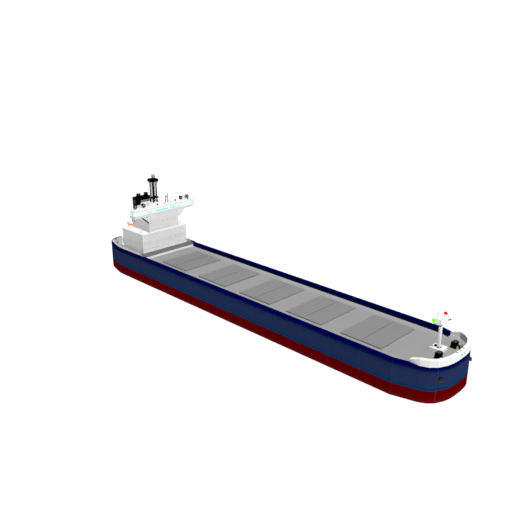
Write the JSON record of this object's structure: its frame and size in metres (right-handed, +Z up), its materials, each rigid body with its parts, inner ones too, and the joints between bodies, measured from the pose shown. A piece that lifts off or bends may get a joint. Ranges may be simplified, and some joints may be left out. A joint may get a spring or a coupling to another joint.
{
  "type": "bulk carrier, 1:10 scale model",
  "caption": "Bulk carrier with hollow cargo holds under hinged hatch covers, aft deckhouse with winged bridge, masts, propeller and rudder; 1:10 scale model.",
  "frame": {"origin": "on the underside of the bottom plating, on the centreline, 8.93 m forward of the transom", "axes": "+X towards the bow, +Y to port, +Z up"},
  "size_m": [17.802, 3.3, 5.22],
  "materials": {
    "hull_blue": "satin",
    "antifouling_red": "matte",
    "deck_grey": "matte",
    "hatch_grey": "matte",
    "house_white": "satin",
    "black_paint": "satin",
    "anchor_brown": "matte",
    "boat_orange": "gloss",
    "bronze": "polished"
  },
  "bodies": {
    "hull": {"accommodation_tower": "house_white", "aft_body": "hull_blue", "anchor_port": "anchor_brown", "anchor_starboard": "anchor_brown", "bow_bulwark": "house_white", "bridge": "house_white", "bulkhead_1": "deck_grey", "bulkhead_2": "deck_grey", "bulkhead_3": "deck_grey", "bulkhead_4": "deck_grey", "bulwark_port": "hull_blue", "bulwark_starboard": "hull_blue", "coaming_1": "hatch_grey", "coaming_2": "hatch_grey", "coaming_3": "hatch_grey", "coaming_4": "hatch_grey", "coaming_5": "hatch_grey", "deckhouse": "house_white", "double_bottom": "antifouling_red", "engine_casing": "house_white", "fore_body": "hull_blue", "forecastle_side": "hull_blue", "foredeck": "deck_grey", "foremast": "house_white", "foremast_platform": "house_white", "funnel": "black_paint", "hopper_tank_port": "antifouling_red", "hopper_tank_starboard": "antifouling_red", "lifeboat_port": "boat_orange", "lifeboat_starboard": "boat_orange", "poop_bulwark": "hull_blue", "poop_deck": "deck_grey", "radar_mast": "black_paint", "side_shell_port": "hull_blue", "side_shell_starboard": "hull_blue", "stair_tower": "house_white", "topside_tank_port": "deck_grey", "topside_tank_starboard": "deck_grey", "windlass_port": "black_paint", "windlass_starboard": "black_paint", "wing_bracket_port": "house_white", "wing_bracket_starboard": "house_white"},
    "hatch_1_aft_cover": {"hatch_1_aft_cover": "hatch_grey"},
    "hatch_1_fore_cover": {"hatch_1_fore_cover": "hatch_grey"},
    "hatch_2_aft_cover": {"hatch_2_aft_cover": "hatch_grey"},
    "hatch_2_fore_cover": {"hatch_2_fore_cover": "hatch_grey"},
    "hatch_3_aft_cover": {"hatch_3_aft_cover": "hatch_grey"},
    "hatch_3_fore_cover": {"hatch_3_fore_cover": "hatch_grey"},
    "hatch_4_aft_cover": {"hatch_4_aft_cover": "hatch_grey"},
    "hatch_4_fore_cover": {"hatch_4_fore_cover": "hatch_grey"},
    "hatch_5_aft_cover": {"hatch_5_aft_cover": "hatch_grey"},
    "hatch_5_fore_cover": {"hatch_5_fore_cover": "hatch_grey"},
    "propeller": {"propeller": "bronze"},
    "rudder": {"rudder": "antifouling_red"}
  },
  "joints": [
    {"name": "hatch_1_aft_hinge", "type": "hinge", "parent": "hull", "child": "hatch_1_aft_cover", "pos_m": [-4.9005, 0, 1.6828], "axis": [0, -1, 0], "range_deg": [0, 80]},
    {"name": "hatch_1_fore_hinge", "type": "hinge", "parent": "hull", "child": "hatch_1_fore_cover", "pos_m": [-3.2475, 0, 1.6828], "axis": [0, 1, 0], "range_deg": [0, 80]},
    {"name": "hatch_2_aft_hinge", "type": "hinge", "parent": "hull", "child": "hatch_2_aft_cover", "pos_m": [-2.4285, 0, 1.6828], "axis": [0, -1, 0], "range_deg": [0, 80]},
    {"name": "hatch_2_fore_hinge", "type": "hinge", "parent": "hull", "child": "hatch_2_fore_cover", "pos_m": [-0.7755, 0, 1.6828], "axis": [0, 1, 0], "range_deg": [0, 80]},
    {"name": "hatch_3_aft_hinge", "type": "hinge", "parent": "hull", "child": "hatch_3_aft_cover", "pos_m": [0.0435, 0, 1.6828], "axis": [0, -1, 0], "range_deg": [0, 80]},
    {"name": "hatch_3_fore_hinge", "type": "hinge", "parent": "hull", "child": "hatch_3_fore_cover", "pos_m": [1.6965, 0, 1.6828], "axis": [0, 1, 0], "range_deg": [0, 80]},
    {"name": "hatch_4_aft_hinge", "type": "hinge", "parent": "hull", "child": "hatch_4_aft_cover", "pos_m": [2.5155, 0, 1.6828], "axis": [0, -1, 0], "range_deg": [0, 80]},
    {"name": "hatch_4_fore_hinge", "type": "hinge", "parent": "hull", "child": "hatch_4_fore_cover", "pos_m": [4.1685, 0, 1.6828], "axis": [0, 1, 0], "range_deg": [0, 80]},
    {"name": "hatch_5_aft_hinge", "type": "hinge", "parent": "hull", "child": "hatch_5_aft_cover", "pos_m": [4.9875, 0, 1.6828], "axis": [0, -1, 0], "range_deg": [0, 80]},
    {"name": "hatch_5_fore_hinge", "type": "hinge", "parent": "hull", "child": "hatch_5_fore_cover", "pos_m": [6.6405, 0, 1.6828], "axis": [0, 1, 0], "range_deg": [0, 80]},
    {"name": "propeller_shaft", "type": "hinge", "parent": "hull", "child": "propeller", "pos_m": [-7.7803, 0, 0.3], "axis": [1, 0, 0], "continuous": true},
    {"name": "rudder_stock", "type": "hinge", "parent": "hull", "child": "rudder", "pos_m": [-8.2, 0, 0.3], "axis": [0, 0, 1], "range_deg": [-35, 35]}
  ]
}
